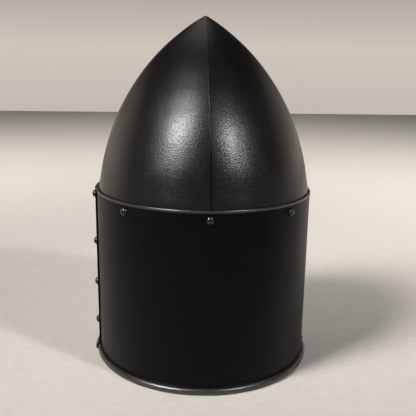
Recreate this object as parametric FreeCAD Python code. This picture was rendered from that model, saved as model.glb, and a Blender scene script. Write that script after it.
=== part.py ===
import FreeCAD, Part
import math
import os

# Sugarloaf great helm. Millimetres, +Z up, z = 0 is the surface it stands on.
# The face looks along +Y, the wearer's right is +X.

V = FreeCAD.Vector
os.makedirs("parts", exist_ok=True)

# ---------------------------------------------------------------- dimensions
SHEET = 1.6              # steel sheet
HALF_W_LOW = 103.8       # half width of the rear plate at its foot
HALF_W_TOP = 106.0       # and at its top edge
RATIO = 1.14             # depth over width of the plan ellipse
PLATE_TOP = 170.0        # height of the plates
ROW_Z = 161.5            # height of the rivet row
FACE_DX, FACE_DY = 2.1, 0.0   # the face plate's outer face against the rear plate's, at sides and front
LAP_GAP = 0.5
BEAD_R = 3.4             # rolled rim
BEAD_Z = 3.3
BEAD_IN = 0.3            # its centre line stands this far outside the plate's outer face
WIRE_R = 1.8
LIP_R = 1.05             # rounded top edge of the plates

FACE_LEFT_T = -84.8      # plan angle of the face plate's rear edges, 0 is the rear centre
FACE_RIGHT_T = 94.2
REAR_LEFT_T = -96.2      # plan angle of the rear plate's front edges, under the face plate
REAR_RIGHT_T = 104.8
SEAM_LEFT_T = -90.0
SEAM_RIGHT_T = 98.8
SEAM_Z = [29.0, 70.0, 113.0]
CORNER = 6.0             # clipped top corners of the face plate

SHANK_R = 2.0
HOLE_R = 2.05
HEAD_R, HEAD_H = 4.05, 3.4
SMALL_R, SMALL_H = 3.1, 2.2

SLOT_Z, SLOT_H = 128.0, 9.0
SLOT_X0, SLOT_X1 = 16.0, 70.0
BAR_T = 1.8
BAR_GAP = 0.1
NASAL_W = 24.0
HOLE_BREATH = 2.6

BAND_T = 2.0
BAND_OUT = 3.8           # liner band's outer face inside the base surface
BAND_Z0, BAND_Z1 = 147.0, 170.6
STRAP_T = 2.2
STRAP_W = 16.0
STRAP_X = 70.0           # where the straps hang
STRAP_PIVOT_X = 97.9     # middle of the strap's thickness at the rivet

# half width of the skull's outer surface against height
SKULL = [(148.0, None), (155.0, None), (162.0, None), (168.0, None), (176.0, 103.35), (182.0, 102.3), (191.0, 100.85),
         (199.6, 99.1), (210.0, 96.45), (220.0, 93.5), (230.0, 90.1), (240.0, 86.05), (248.5, 82.1), (257.0, 77.6),
         (265.5, 72.75), (274.0, 67.2), (282.5, 61.2), (290.9, 54.6), (296.5, 49.7), (302.1, 44.5), (307.7, 38.8),
         (313.3, 32.6), (318.8, 26.0), (324.4, 18.8), (329.9, 11.0), (333.0, 5.95), (335.4, 1.9)]


def half_w(z):
    return HALF_W_LOW + (HALF_W_TOP - HALF_W_LOW) * z / PLATE_TOP


SKULL = [(z, w if w else half_w(z) - SHEET - 0.2) for z, w in SKULL]


def crease(z):
    """How sharply the medial ridge stands out, none at the skirt and most near the point."""
    k = [(172.0, 0.0), (200.0, 0.022), (240.0, 0.075), (280.0, 0.15), (336.0, 0.26)]
    if z <= k[0][0]:
        return 0.0
    for (z0, k0), (z1, k1) in zip(k, k[1:]):
        if z <= z1:
            return k0 + (k1 - k0) * (z - z0) / (z1 - z0)
    return k[-1][1]


# ------------------------------------------------------------------- helpers
def ellipse(dx, dy, z):
    a, b = half_w(z) + dx, half_w(z) * RATIO + dy
    return Part.Wire([Part.Ellipse(V(0, b, z), V(a, 0, z), V(0, 0, z)).toShape()])


def frustum(dx, dy, z0, z1):
    return Part.makeLoft([ellipse(dx, dy, z0), ellipse(dx, dy, z1)], True, True)


def band(dx, dy, thick, z0, z1):
    """Sheet that follows the plan ellipse, its outer face at dx, dy from the base surface."""
    return frustum(dx, dy, z0, z1).cut(frustum(dx - thick, dy - thick, z0 - 5, z1 + 5))


def at(dx, dy, t, z):
    """Point and outward normal on the surface at plan angle t in degrees."""
    r = math.radians(t)
    a, b = half_w(z) + dx, half_w(z) * RATIO + dy
    n = V(math.sin(r) / a, -math.cos(r) / b, 0)
    n.normalize()
    return V(a * math.sin(r), -b * math.cos(r), z), n


def wedge(t0, t1, z0=-20.0, z1=400.0):
    """Everything between two plan angles."""
    n = max(2, int(abs(t1 - t0) / 12) + 1)
    pts = [V(0, 0, z0)]
    for i in range(n + 1):
        r = math.radians(t0 + (t1 - t0) * i / n)
        pts.append(V(260 * math.sin(r), -260 * RATIO * math.cos(r), z0))
    pts.append(pts[0])
    return Part.Face(Part.makePolygon(pts)).extrude(V(0, 0, z1 - z0))


def turned(dx, dy, profile):
    """Solid whose wall follows the plan ellipse, from a list of (offset, height), lowest first."""
    return Part.makeLoft([ellipse(dx + off, dy + off, z) for off, z in profile], True, True)


def arc(off, z, radius, a0, a1, n, side):
    """Points on a circle in the wall's cross section, side 1 for its outer half and -1 for its inner half."""
    out = []
    for i in range(n + 1):
        a = math.radians(a0 + (a1 - a0) * i / n)
        out.append((off + side * radius * math.cos(a), z + radius * math.sin(a)))
    return out


def ring(dx, dy, off, z, radius):
    """Solid round bar all the way along the plan ellipse."""
    full = turned(dx, dy, arc(off, z, radius, -88, 88, 12, 1))
    core = arc(off, z, radius, -88, 88, 12, -1)
    core = [(core[0][0], z - radius - 2)] + core + [(core[-1][0], z + radius + 2)]
    return full.cut(turned(dx, dy, core))


def rimmed_sheet(dx, dy, lip_off, lip_r):
    """Sheet of the plates' height with its rolled rim, its rounded top edge and the rim's channel."""
    low = math.degrees(math.asin(BEAD_Z / BEAD_R))
    join = math.degrees(math.acos(BEAD_IN / BEAD_R))
    lip_z = PLATE_TOP - lip_r
    start = math.degrees(math.acos(-lip_off / lip_r))
    outer = arc(BEAD_IN, BEAD_Z, BEAD_R, -low, 90.0, 14, 1)
    outer.append((0.0, BEAD_Z + BEAD_R * math.sin(math.radians(180.0 - join)) + 0.02))
    outer += arc(lip_off, lip_z, lip_r, -start, 80.0, 8, 1)
    inner_join = math.degrees(math.acos((BEAD_IN + SHEET) / BEAD_R))
    inner = arc(BEAD_IN, BEAD_Z, BEAD_R, -low, inner_join, 12, -1)
    inner = [(inner[0][0], -4.0)] + inner
    inner_start = math.degrees(math.acos((SHEET + lip_off) / lip_r))
    inner += arc(lip_off, lip_z, lip_r, -inner_start, 80.0, 8, -1)
    inner.append((inner[-1][0], PLATE_TOP + 4.0))
    return turned(dx, dy, outer).cut(turned(dx, dy, inner)).cut(ring(dx, dy, BEAD_IN, BEAD_Z, WIRE_R + 0.05))


def rod(p, n, r, near, far):
    """Cylinder along n from p + near*n to p + far*n."""
    return Part.makeCylinder(r, far - near, p + n * near, n)


def rivet(p, n, under, depth, r=HEAD_R, h=HEAD_H, shank=SHANK_R):
    """Round-head rivet; its head lies on the solid called under, and its burred end starts at depth."""
    head = Part.makeSphere(r, p + n * (h - r)).cut(under)
    stem = rod(p, n, shank, -depth - 0.5, h * 0.5)
    burr = Part.makeCone(shank + 1.5, shank + 0.2, 1.4, p - n * depth, n * -1)
    return head.fuse([stem, burr]).removeSplitter()


def washer(p, n, depth, size=12.0, thick=1.0):
    """Square washer with its outer face at depth below p."""
    x = V(-n.y, n.x, 0)
    c = p - n * depth
    z = V(0, 0, 1)
    h = size / 2
    pts = [c + x * i * h + z * j * h for i, j in ((-1, -1), (1, -1), (1, 1), (-1, 1), (-1, -1))]
    w = Part.Face(Part.makePolygon(pts)).extrude(n * -thick)
    return w.cut(rod(p, n, HOLE_R, -depth - thick - 2, 2))


def holes(solid, cutters):
    return solid.cut(Part.makeCompound(cutters)) if cutters else solid


def save(name, shape):
    solids = shape.Solids
    out = solids[0] if len(solids) == 1 else Part.makeCompound(solids)
    if not out.isValid():
        print("NOT VALID", name)
    bb = out.BoundBox
    print("%-20s solids %d volume %.1f  x %.1f..%.1f y %.1f..%.1f z %.1f..%.1f" % (
        name, len(solids), out.Volume, bb.XMin, bb.XMax, bb.YMin, bb.YMax, bb.ZMin, bb.ZMax))
    out.exportStep("parts/%s.step" % name)


# ------------------------------------------------------------ rivet positions
rear_row = [at(0, 0, t, ROW_Z) for t in (-45.0, 0.0, 45.0)]
front_row = [at(FACE_DX, FACE_DY, t, ROW_Z) for t in (180.0 - 45.0, 180.0, 180.0 + 45.0)]
pivot_left = (V(-(half_w(ROW_Z) + FACE_DX), 0, ROW_Z), V(-1, 0, 0))
pivot_right = (V(half_w(ROW_Z), 0, ROW_Z), V(1, 0, 0))
seam_left = [at(FACE_DX, FACE_DY, SEAM_LEFT_T, z) for z in SEAM_Z]
seam_right = [at(FACE_DX, FACE_DY, SEAM_RIGHT_T, z) for z in SEAM_Z + [ROW_Z - 1.0]]

row_cut = [rod(p, n, HOLE_R, -14, 6) for p, n in rear_row + front_row + [pivot_left, pivot_right]]
seam_cut = [rod(p, n, HOLE_R, -8, 6) for p, n in seam_left + seam_right[:-1]]
seam_cut += [rod(p, n, HOLE_R, -12, 6) for p, n in seam_right[-1:]]


# --------------------------------------------------------------------- skull
def d_section(w, d, k, z, back):
    """Half of a creased oval, closed on the medial plane or a little behind it."""
    pts = []
    n = 36
    for i in range(n + 1):
        th = math.pi * i / n
        s = math.sin(th)
        pts.append(V(w * s, -d * math.cos(th) * (1 - k * s), z))
    pts[0].x = pts[-1].x = 0
    curve = Part.BSplineCurve()
    curve.interpolate(pts)
    edges = [curve.toShape()]
    if back:
        q = [pts[-1], V(-back, pts[-1].y, z), V(-back, pts[0].y, z), pts[0]]
        edges += [Part.makeLine(a, b) for a, b in zip(q, q[1:])]
    else:
        edges.append(Part.makeLine(pts[-1], pts[0]))
    return Part.Wire(edges)


def skull_half():
    outer = Part.makeLoft([d_section(w, w * RATIO, crease(z), z, 0) for z, w in SKULL], True, False)
    inner = []
    for i, (z, w) in enumerate(SKULL):
        lo, hi = SKULL[max(i - 1, 0)], SKULL[min(i + 1, len(SKULL) - 1)]
        slope = (hi[1] - lo[1]) / (hi[0] - lo[0])
        wi = w - SHEET * math.sqrt(1 + slope ** 2)
        di = w * RATIO - SHEET * math.sqrt(1 + (slope * RATIO) ** 2)
        if z < 331:
            inner.append((z, wi, di))
    low = inner[0]
    sections = [d_section(low[1], low[2], 0.0, low[0] - 4.0, 3.0)]
    sections += [d_section(wi, di, crease(z), z, 3.0) for z, wi, di in inner]
    hollow = Part.makeLoft(sections, True, False)
    tip = Part.makeSphere(3.0, V(0, 0, 333.05)).common(Part.makeBox(10, 20, 20, V(0, -10, 325)))
    half = outer.fuse(tip).cut(hollow)
    if len(half.Solids) > 1:
        half = max(half.Solids, key=lambda s: s.Volume)
    return half


right = skull_half()
left = right.mirror(V(0, 0, 0), V(1, 0, 0))
save("skull_right", holes(right, row_cut + seam_cut[-1:]))
save("skull_left", holes(left, row_cut))

# ---------------------------------------------------------------- rear plate
body = rimmed_sheet(0, 0, -0.7, LIP_R).common(wedge(REAR_LEFT_T, REAR_RIGHT_T))
# under the face plate it is plain: notched above the rim, and its top edge dressed flat
laps = [(REAR_LEFT_T - 5, FACE_LEFT_T + 0.5), (FACE_RIGHT_T - 0.5, REAR_RIGHT_T + 5)]
body = body.cut(Part.makeCompound([wedge(t0, t1, -5.0, 8.0) for t0, t1 in laps]))
lap_skin = frustum(8, 8, 150, 180).cut(frustum(0.02, 0.02, 140, 190))
body = body.cut(lap_skin.common(Part.makeCompound([wedge(t0, t1) for t0, t1 in laps])))
save("rear_plate", holes(body, row_cut + seam_cut))
save("rim_wire_rear", ring(0, 0, BEAD_IN, BEAD_Z, WIRE_R).common(wedge(FACE_LEFT_T + 1.2, FACE_RIGHT_T - 1.2)))

# ---------------------------------------------------------------- face plate
FX, FY = FACE_DX, FACE_DY
body = rimmed_sheet(FX, FY, -0.68, 0.98).common(wedge(FACE_RIGHT_T, 360.0 + FACE_LEFT_T))
for t, side in ((FACE_LEFT_T, -1), (FACE_RIGHT_T, 1)):
    p, n = at(FX, FY, t, PLATE_TOP)
    tri = [V(0, p.y - 1, PLATE_TOP + 1), V(0, p.y - 1, PLATE_TOP - CORNER), V(0, p.y, PLATE_TOP - CORNER), V(0, p.y + CORNER, PLATE_TOP), V(0, p.y + CORNER, PLATE_TOP + 1)]
    prism = Part.Face(Part.makePolygon(tri + [tri[0]])).extrude(V(side * 150, 0, 0))
    body = body.cut(prism)


def slot(x0, x1, z, h):
    """Round-ended slot cut straight back along Y."""
    r = h / 2
    box = Part.makeBox(x1 - x0 - h, 100, h, V(x0 + r, 60, z - r))
    return box.fuse([Part.makeCylinder(r, 100, V(x, 60, z), V(0, 1, 0)) for x in (x0 + r, x1 - r)])


eye = [slot(SLOT_X0, SLOT_X1, SLOT_Z, SLOT_H), slot(-SLOT_X1, -SLOT_X0, SLOT_Z, SLOT_H)]
breath = []
for side in (-1, 1):
    for row in range(5):
        for col in range(5 - row % 2):
            t = 180 - side * (13.0 + 6.0 * col + 3.0 * (row % 2))
            p, n = at(FX, FY, t, 38.0 + 12.0 * row)
            breath.append(rod(p, n, HOLE_BREATH, -6, 6))

# ------------------------------------------------------- reinforcing cross
bx, by = FX + BAR_GAP + BAR_T, FY + BAR_GAP + BAR_T
bar_skin = band(bx, by, BAR_T, 6.0, 168.0)
bar_outer = frustum(bx, by, 0.0, 169.0)


def outline(points):
    """Prism along +Y over a closed outline in X and Z."""
    pts = [V(x, 40, z) for x, z in points]
    return Part.Face(Part.makePolygon(pts + [pts[0]])).extrude(V(0, 120, 0))


hw = NASAL_W / 2
nasal_shape = outline([(-hw, 26), (-hw - 5, 18), (0, 9.5), (hw + 5, 18), (hw, 26), (hw, 142), (hw + 4, 149), (0, 156), (-hw - 4, 149), (-hw, 142)])
arm = [(hw + 0.4, 113.5), (72, 113.5), (80, 109.5), (86.5, 128), (80, 146.5), (72, 142.5), (hw + 0.4, 142.5)]
arm_shape = {1: outline(arm), -1: outline([(-x, z) for x, z in arm])}
nasal_rivets = [(0.0, 22.0), (0.0, 62.0), (0.0, 100.0), (0.0, 141.5)]
arm_rivets = [(22.0, 118.5), (22.0, 137.5), (46.0, 118.0), (46.0, 138.0), (66.0, 118.5), (66.0, 137.5), (79.5, 128.0)]


def on_bar(x, z):
    a = half_w(z) + bx
    t = 180.0 - math.degrees(math.asin(x / a))
    return at(bx, by, t, z)


cross_at = [on_bar(x, z) for x, z in nasal_rivets]
for s in (-1, 1):
    cross_at += [on_bar(s * x, z) for x, z in arm_rivets]
cross_cut = [rod(p, n, 1.55, -10, 5) for p, n in cross_at]
save("nasal_bar", holes(bar_skin.common(nasal_shape), cross_cut))
for s, name in ((-1, "left"), (1, "right")):
    bar = bar_skin.common(arm_shape[s]).cut(slot(SLOT_X0 - 0.8, SLOT_X1 + 0.8, SLOT_Z, SLOT_H + 1.6) if s > 0 else slot(-SLOT_X1 - 0.8, -SLOT_X0 + 0.8, SLOT_Z, SLOT_H + 1.6))
    save("ocular_bar_" + name, holes(bar, cross_cut))
save("cross_rivets", Part.makeCompound([rivet(p, n, bar_outer, BAR_T + BAR_GAP + SHEET + 0.06, SMALL_R, SMALL_H, 1.5) for p, n in cross_at]))

body = body.cut(Part.makeCompound(eye + breath))
save("face_plate", holes(body, row_cut + seam_cut + cross_cut))
save("rim_wire_front", ring(FX, FY, BEAD_IN, BEAD_Z, WIRE_R).common(wedge(FACE_RIGHT_T + 0.6, 359.4 + FACE_LEFT_T)))

# -------------------------------------------------------------------- liner
band_in = BAND_OUT + BAND_T
liner = band(-BAND_OUT, -BAND_OUT, BAND_T, BAND_Z0, BAND_Z1)
save("liner_band", holes(liner, row_cut + [rod(p, n, 4.2, -14, 6) for p, n in seam_right[-1:]]))

rear_outer = frustum(0, 0, 10.0, 169.0)
face_outer = frustum(FX, FY, 10.0, 169.0)
wash_d = band_in + 0.35
rear_rivets = [rivet(p, n, rear_outer, wash_d + 1.06) for p, n in rear_row]
save("rivets_rear_row", Part.makeCompound(rear_rivets))
washers = [washer(p, n, wash_d) for p, n in rear_row]
front_rivets = []
for p, n in front_row:
    # the face plate stands off the base surface by a little more between the sides and the front
    q, m = at(0, 0, math.degrees(math.atan2(p.x / half_w(ROW_Z), -p.y / (half_w(ROW_Z) * RATIO))), ROW_Z)
    off = (p - q).dot(n)
    front_rivets.append(rivet(p, n, face_outer, wash_d + off + 1.06))
    washers.append(washer(p, n, wash_d + off))
save("rivets_front_row", Part.makeCompound(front_rivets))

strap_face = STRAP_PIVOT_X - STRAP_T / 2
piv_wash = strap_face - 0.4
save("rivet_pivot_left", rivet(pivot_left[0], pivot_left[1], face_outer, half_w(ROW_Z) + FX - piv_wash + 1.06))
save("rivet_pivot_right", rivet(pivot_right[0], pivot_right[1], rear_outer, half_w(ROW_Z) - piv_wash + 1.06))
washers.append(washer(pivot_left[0], pivot_left[1], half_w(ROW_Z) + FX - piv_wash))
washers.append(washer(pivot_right[0], pivot_right[1], half_w(ROW_Z) - piv_wash))
save("liner_washers", Part.makeCompound(washers))
seam_depth = SHEET * 2 + LAP_GAP + 0.12
save("rivets_seam_left", Part.makeCompound([rivet(p, n, face_outer, seam_depth) for p, n in seam_left]))
save("rivets_seam_right", Part.makeCompound([rivet(p, n, face_outer, seam_depth) for p, n in seam_right[:-1]] + [rivet(p, n, face_outer, seam_depth + SHEET + 0.25, shank=SHANK_R) for p, n in seam_right[-1:]]))

LAPPET = [(BAND_Z1, 100.6), (180.0, 97.8), (192.0, 92.6), (205.0, 84.0), (217.0, 72.5), (228.0, 57.5), (237.0, 40.0), (243.0, 26.0)]


def oval(w, z, thin=0.0):
    return Part.Wire([Part.Ellipse(V(0, w * RATIO - thin, z), V(w - thin, 0, z), V(0, 0, z)).toShape()])


outer = Part.makeLoft([oval(w, z) for z, w in LAPPET], True, False)
inner = Part.makeLoft([oval(w - 2.6 - 2.4 * (z - BAND_Z1) / 72.4, z) for z, w in LAPPET], True, False)
lappets = outer.cut(inner)
gores = []
for i in range(8):
    a = math.radians(22.5 + 45 * i)
    d = V(math.sin(a), -math.cos(a), 0)
    c = V(-d.y, d.x, 0)
    pts = [d * 15 + c * 0.5, d * 130 + c * 1.5, d * 130 - c * 1.5, d * 15 - c * 0.5]
    pts = [V(p.x, p.y, BAND_Z1 - 1.0) for p in pts]
    gores.append(Part.Face(Part.makePolygon(pts + [pts[0]])).extrude(V(0, 0, 76.0)))
lappets = lappets.cut(Part.makeCompound(gores))
assert len(lappets.Solids) == 8
save("liner_lappets", Part.makeCompound(lappets.Solids))
pad = Part.makeCylinder(27.0, 6.0, V(0, 0, 243.0))
pad = pad.makeFillet(2.4, [e for e in pad.Edges if len(e.Vertexes) == 1])
save("crown_pad", pad)


# ------------------------------------------------------------- chin straps
def strap(side, length, hole_z):
    """Leather strip that lies flat at the rivet, bends inward and hangs straight down."""
    path = [(10.0, STRAP_PIVOT_X), (-12.0, STRAP_PIVOT_X), (-22.0, STRAP_PIVOT_X - 3.2), (-38.0, STRAP_X + 13.0), (-52.0, STRAP_X + 3.2), (-62.0, STRAP_X), (-length, STRAP_X)]
    curve = Part.BSplineCurve()
    curve.interpolate([V(side * x, 0, ROW_Z + dz) for dz, x in path[1:6]], InitialTangent=V(0, 0, -1), FinalTangent=V(0, 0, -1))
    pts_out, pts_in = [], []
    centre = [V(side * path[0][1], 0, ROW_Z + path[0][0])]
    tang = [V(0, 0, -1)]
    m = 40
    for i in range(m + 1):
        u = curve.FirstParameter + (curve.LastParameter - curve.FirstParameter) * i / m
        centre.append(curve.value(u))
        t = curve.tangent(u)[0]
        tang.append(t)
    centre.append(V(side * STRAP_X, 0, ROW_Z - length))
    tang.append(V(0, 0, -1))
    for c, t in zip(centre, tang):
        n = V(-t.z, 0, t.x)
        pts_out.append(c + n * (STRAP_T / 2))
        pts_in.append(c - n * (STRAP_T / 2))

    def skin(pts):
        first = Part.makeLine(pts[0], pts[1])
        spline = Part.BSplineCurve()
        spline.interpolate(pts[1:-1])
        return [first, spline.toShape(), Part.makeLine(pts[-2], pts[-1])]

    edges = skin(pts_out) + [Part.makeLine(pts_out[-1], pts_in[-1])] + skin(pts_in) + [Part.makeLine(pts_in[0], pts_out[0])]
    face = Part.Face(Part.Wire(Part.__sortEdges__(edges)))
    solid = face.extrude(V(0, STRAP_W, 0))
    solid.translate(V(0, -STRAP_W / 2, 0))
    # rounded upper end about the rivet
    near = Part.makeBox(40, 40, 40, V(side * STRAP_PIVOT_X - 20, -20, ROW_Z)).cut(Part.makeCylinder(STRAP_W / 2, 60, V(side * STRAP_PIVOT_X - 30, 0, ROW_Z), V(1, 0, 0)))
    solid = solid.cut(near)
    solid = solid.cut(Part.makeCylinder(HOLE_R, 60, V(side * STRAP_PIVOT_X - 30, 0, ROW_Z), V(1, 0, 0)))
    for z in hole_z:
        solid = solid.cut(Part.makeCylinder(1.7, 60, V(side * STRAP_X - 30, 0, z), V(1, 0, 0)))
    return solid


# right strap: plain tongue with holes and a pointed end
TONGUE = 142.0
tongue_end = ROW_Z - TONGUE
right_strap = strap(1, TONGUE, [tongue_end + 18 + 12 * i for i in range(5)])
tip = Part.makeBox(60, 40, 12, V(STRAP_X - 30, -20, tongue_end - 1))
arrow = [V(STRAP_X - 30, -8, tongue_end + 10), V(STRAP_X - 30, -4.5, tongue_end + 3), V(STRAP_X - 30, 0, tongue_end), V(STRAP_X - 30, 4.5, tongue_end + 3), V(STRAP_X - 30, 8, tongue_end + 10), V(STRAP_X - 30, 8, tongue_end + 13), V(STRAP_X - 30, -8, tongue_end + 13)]
keep = Part.Face(Part.makePolygon(arrow + [arrow[0]])).extrude(V(60, 0, 0))
right_strap = right_strap.cut(tip.cut(keep))
save("strap_right", right_strap)

# left strap: its end folds outward around the buckle's bar
BAR_Z = 62.0             # height of the buckle bar
BAR_R = 1.3
FOLD_IN = BAR_R + 0.35
bar_x = -(STRAP_X + STRAP_T / 2 + FOLD_IN)
left_len = ROW_Z - BAR_Z
left_strap = strap(-1, left_len, [])
fold = Part.makeCylinder(FOLD_IN + STRAP_T, STRAP_W, V(bar_x, -STRAP_W / 2, BAR_Z), V(0, 1, 0)).cut(Part.makeCylinder(FOLD_IN, STRAP_W + 2, V(bar_x, -STRAP_W / 2 - 1, BAR_Z), V(0, 1, 0)))
fold = fold.common(Part.makeBox(30, 30, 20, V(bar_x - 15, -15, BAR_Z - 20)))
back = Part.makeBox(STRAP_T, STRAP_W, 24.0, V(bar_x - FOLD_IN - STRAP_T, -STRAP_W / 2, BAR_Z))
filler = Part.makeBox(2 * FOLD_IN, STRAP_W, 18.0, V(bar_x - FOLD_IN, -STRAP_W / 2, BAR_Z + 6.0))
left_strap = left_strap.fuse([fold, back, filler]).removeSplitter()
prong_gap = Part.makeBox(14, 4.2, 12.0, V(bar_x - 7, -2.1, BAR_Z - 7))
left_strap = left_strap.cut(prong_gap)
save("strap_left", left_strap)

# buckle: rectangular frame below the bar
FRAME_W, FRAME_H, FRAME_T = 25.0, 19.0, 2.6
fx = bar_x
outer = Part.makeBox(FRAME_T, FRAME_W, FRAME_H, V(fx - FRAME_T / 2, -FRAME_W / 2, BAR_Z - FRAME_H + BAR_R))
outer = outer.makeFillet(3.0, [e for e in outer.Edges if abs(e.BoundBox.XLength - FRAME_T) < 0.01 and e.BoundBox.YLength < 0.01 and e.BoundBox.ZLength < 0.01])
inner_h = FRAME_H - 3.0 - 2 * BAR_R
inner = Part.makeBox(FRAME_T + 2, FRAME_W - 6.4, inner_h + 6, V(fx - FRAME_T / 2 - 1, -(FRAME_W - 6.4) / 2, BAR_Z - BAR_R - inner_h))
frame = outer.cut(inner)
bar = Part.makeCylinder(BAR_R, FRAME_W - 5.0, V(fx, -(FRAME_W - 5.0) / 2, BAR_Z), V(0, 1, 0))
save("buckle_frame", frame.fuse(bar).removeSplitter())

# prong: eye around the bar and a tapered pin that lies on the frame's lower side
eye_r = BAR_R + 0.06
prong = Part.makeCylinder(eye_r + 1.1, 3.4, V(fx, -1.7, BAR_Z), V(0, 1, 0)).cut(Part.makeCylinder(eye_r, 6, V(fx, -3, BAR_Z), V(0, 1, 0)))
px = fx - eye_r - 0.35      # the pin runs on the frame's outer side
low = BAR_Z - FRAME_H + BAR_R - 1.4
side_view = [V(fx - eye_r - 0.1, -1.2, BAR_Z), V(fx - eye_r - 1.05, -1.2, BAR_Z), V(fx - FRAME_T / 2 - 2.0, -1.2, BAR_Z - 4), V(fx - FRAME_T / 2 - 1.9, -1.2, low), V(fx - FRAME_T / 2 - 0.9, -1.2, low - 0.6), V(fx - FRAME_T / 2 - 0.32, -1.2, low + 0.2), V(fx - FRAME_T / 2 - 0.32, -1.2, BAR_Z - 3.2), V(fx - eye_r - 0.1, -1.2, BAR_Z - 1.2)]
pin = Part.Face(Part.makePolygon(side_view + [side_view[0]])).extrude(V(0, 2.4, 0))
pin = pin.cut(Part.makeCylinder(eye_r, 6, V(fx, -3, BAR_Z), V(0, 1, 0)))
save("buckle_prong", prong.fuse(pin).removeSplitter())

# keeper: leather loop around the doubled strap, just above the folded end's stitching
keep_z = BAR_Z + 8.0
stack_in, stack_out = -(STRAP_X - STRAP_T / 2), bar_x - FOLD_IN - STRAP_T
kw = STRAP_W / 2 + 0.4
ko = Part.makeBox(stack_in + 0.4 + 1.6 - (stack_out - 0.4 - 1.6), 2 * (kw + 1.6), 7.0, V(stack_out - 0.4 - 1.6, -kw - 1.6, keep_z))
ki = Part.makeBox(stack_in + 0.4 - (stack_out - 0.4), 2 * kw, 9.0, V(stack_out - 0.4, -kw, keep_z - 1))
keeper = ko.makeFillet(1.2, [e for e in ko.Edges if abs(e.BoundBox.ZLength - 7.0) < 0.1 and e.BoundBox.XLength < 0.1]).cut(ki)
save("strap_keeper", keeper)
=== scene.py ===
import bpy
import bmesh
import math
import random
import numpy as np
from mathutils import Vector, Matrix


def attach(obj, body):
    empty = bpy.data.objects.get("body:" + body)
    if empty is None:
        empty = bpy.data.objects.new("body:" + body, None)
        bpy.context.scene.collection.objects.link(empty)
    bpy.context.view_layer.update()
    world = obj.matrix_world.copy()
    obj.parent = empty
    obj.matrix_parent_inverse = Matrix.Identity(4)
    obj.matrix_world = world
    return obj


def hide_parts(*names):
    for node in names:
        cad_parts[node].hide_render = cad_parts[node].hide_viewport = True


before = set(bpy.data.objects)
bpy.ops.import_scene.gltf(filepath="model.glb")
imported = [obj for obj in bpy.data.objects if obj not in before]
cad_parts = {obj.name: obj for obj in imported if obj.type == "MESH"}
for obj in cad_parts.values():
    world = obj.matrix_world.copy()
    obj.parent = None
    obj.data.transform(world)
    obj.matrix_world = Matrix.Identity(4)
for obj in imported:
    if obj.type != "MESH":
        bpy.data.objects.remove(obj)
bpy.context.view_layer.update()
MM = 0.001

# ------------------------------------------------------------ dimensions, mm
SHEET, RATIO, PLATE_TOP, ROW_Z = 1.6, 1.14, 170.0, 161.5
FX, FY = 2.1, 0.0
FACE_LEFT_T, FACE_RIGHT_T = -84.8, 94.2
REAR_LEFT_T, REAR_RIGHT_T = -96.2, 104.8
SEAM_LEFT_T, SEAM_RIGHT_T = -90.0, 98.8
SEAM_Z = [29.0, 70.0, 113.0]
SLOT_Z, SLOT_H, SLOT_X0, SLOT_X1 = 128.0, 9.0, 16.0, 70.0
BAR_T, BAR_GAP = 1.8, 0.1
BAND_OUT, BAND_T, BAND_Z0, BAND_Z1 = 3.8, 2.0, 147.0, 170.6
STRAP_T, STRAP_W, STRAP_X, STRAP_PIVOT_X = 2.2, 16.0, 70.0, 97.9
BAR_Z = 62.0
BAR_X = -72.75

SKULL = [(176.0, 103.35), (182.0, 102.3), (191.0, 100.85), (199.6, 99.1), (210.0, 96.45), (220.0, 93.5), (230.0, 90.1),
         (240.0, 86.05), (248.5, 82.1), (257.0, 77.6), (265.5, 72.75), (274.0, 67.2), (282.5, 61.2), (290.9, 54.6),
         (296.5, 49.7), (302.1, 44.5), (307.7, 38.8), (313.3, 32.6), (318.8, 26.0), (324.4, 18.8), (329.9, 11.0),
         (333.0, 5.95), (335.4, 1.9)]


def half_w(z):
    return 103.8 + 2.2 * z / PLATE_TOP


def smooth01(v):
    v = min(max(v, 0.0), 1.0)
    return v * v * (3 - 2 * v)


def spline(xs, ys, x, end0=None, end1=None):
    """Natural or clamped cubic spline through the points, at x."""
    xs, ys, x = np.array(xs, float), np.array(ys, float), np.atleast_1d(np.array(x, float))
    n = len(xs)
    h = np.diff(xs)
    a = np.zeros((n, n))
    r = np.zeros(n)
    for i in range(1, n - 1):
        a[i, i - 1], a[i, i], a[i, i + 1] = h[i - 1], 2 * (h[i - 1] + h[i]), h[i]
        r[i] = 6 * ((ys[i + 1] - ys[i]) / h[i] - (ys[i] - ys[i - 1]) / h[i - 1])
    a[0, 0] = a[-1, -1] = 1
    if end0 is not None:
        a[0, 0], a[0, 1], r[0] = 2 * h[0], h[0], 6 * ((ys[1] - ys[0]) / h[0] - end0)
    if end1 is not None:
        a[-1, -1], a[-1, -2], r[-1] = 2 * h[-1], h[-1], 6 * (end1 - (ys[-1] - ys[-2]) / h[-1])
    m = np.linalg.solve(a, r)
    k = np.clip(np.searchsorted(xs, x) - 1, 0, n - 2)
    d, e = x - xs[k], xs[k + 1] - x
    hk = h[k]
    return (m[k] * e ** 3 + m[k + 1] * d ** 3) / (6 * hk) + (ys[k] / hk - m[k] * hk / 6) * e + (ys[k + 1] / hk - m[k + 1] * hk / 6) * d


def at(dx, dy, t, z):
    """Point and outward normal, mm, at plan angle t in degrees."""
    r = math.radians(t)
    a, b = half_w(z) + dx, half_w(z) * RATIO + dy
    n = Vector((math.sin(r) / a, -math.cos(r) / b, 0)).normalized()
    return Vector((a * math.sin(r), -b * math.cos(r), z)), n


# arc length along the plan ellipse, 0 at the rear centre
_t = np.radians(np.linspace(-200.0, 380.0, 5801))
_mid = 104.9
_ds = np.hypot(_mid * np.cos(_t), _mid * RATIO * np.sin(_t)) * (_t[1] - _t[0])
_s = np.concatenate([[0], np.cumsum((_ds[1:] + _ds[:-1]) / 2)])
_s -= np.interp(0.0, _t, _s)


def s_of_t(t):
    return float(np.interp(math.radians(t), _t, _s))


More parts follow.
